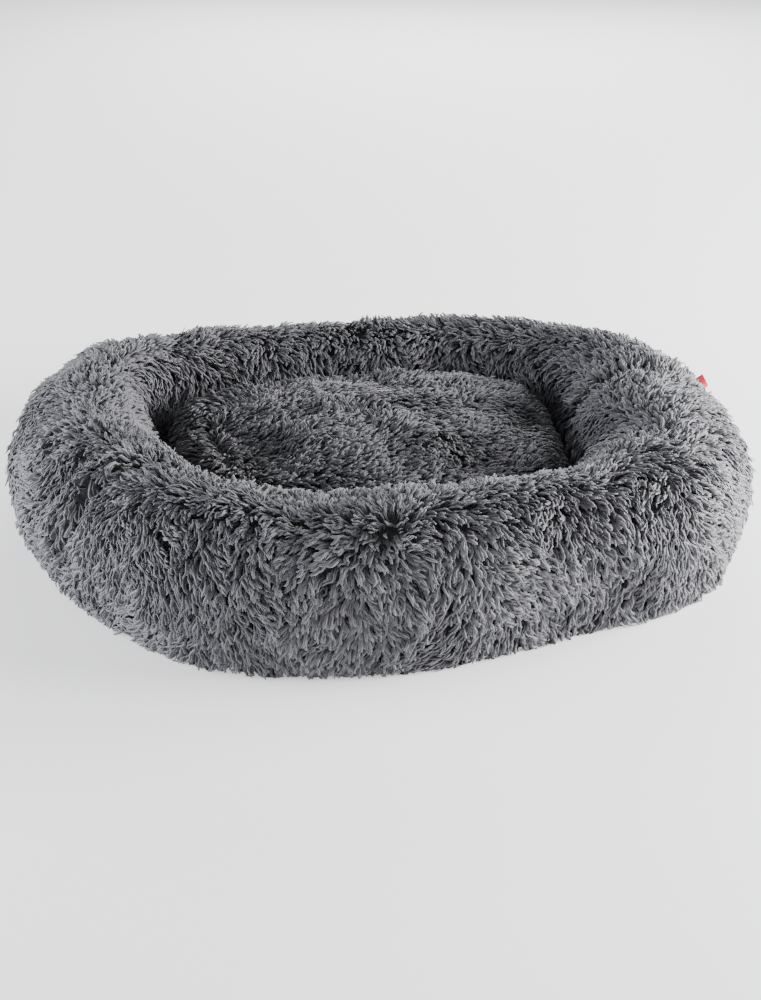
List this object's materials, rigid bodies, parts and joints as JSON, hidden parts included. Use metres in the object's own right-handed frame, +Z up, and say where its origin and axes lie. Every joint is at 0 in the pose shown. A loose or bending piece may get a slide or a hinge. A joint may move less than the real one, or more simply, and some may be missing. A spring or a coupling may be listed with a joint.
{
  "type": "pet cushion bed",
  "caption": "Oval shaggy plush pet bed: a raised stuffed ring on a sewn base, with a loose zip-covered cushion in the nest.",
  "frame": {"origin": "on the floor under the middle of the bed", "axes": "+X along the bed's length, -Y towards its higher front edge, +Z up"},
  "size_m": [0.9, 0.75, 0.1983],
  "materials": {
    "ring_plush": "long shaggy pile",
    "cushion_plush": "long shaggy pile",
    "base_cloth": "plain weave",
    "stuffing": "hollow fibre",
    "pad_lining": "non-woven",
    "red_ribbon": "satin ribbon",
    "white_ribbon": "satin ribbon",
    "zip_tape": "woven tape",
    "zip_plastic": "moulded nylon",
    "zip_metal": "lacquered die casting"
  },
  "bodies": {
    "bed": {"base_panel": "base_cloth", "floor_wadding": "stuffing", "floor_panel": "base_cloth", "bolster_cover_front": "ring_plush", "bolster_cover_rear": "ring_plush", "bolster_fill": "stuffing", "side_label": "red_ribbon", "care_label": "white_ribbon"},
    "cushion": {"cushion_top_panel": "cushion_plush", "cushion_underside_front": "base_cloth", "cushion_underside_rear": "base_cloth", "pad_casing_top": "pad_lining", "pad_casing_bottom": "pad_lining", "pad_fill": "stuffing", "zip_tape_front": "zip_tape", "zip_tape_rear": "zip_tape", "zip_teeth_front": "zip_plastic", "zip_teeth_rear": "zip_plastic", "zip_stop_closed": "zip_plastic", "zip_stop_open": "zip_plastic"},
    "slider": {"zip_slider": "zip_metal"}
  },
  "joints": [
    {"name": "cushion_lift", "type": "slide", "parent": "bed", "child": "cushion", "axis": [0, 0, 1], "range_m": [0, 0.25]},
    {"name": "zip_slide", "type": "slide", "parent": "cushion", "child": "slider", "axis": [-1, 0, 0], "range_m": [0, 0.287]}
  ]
}
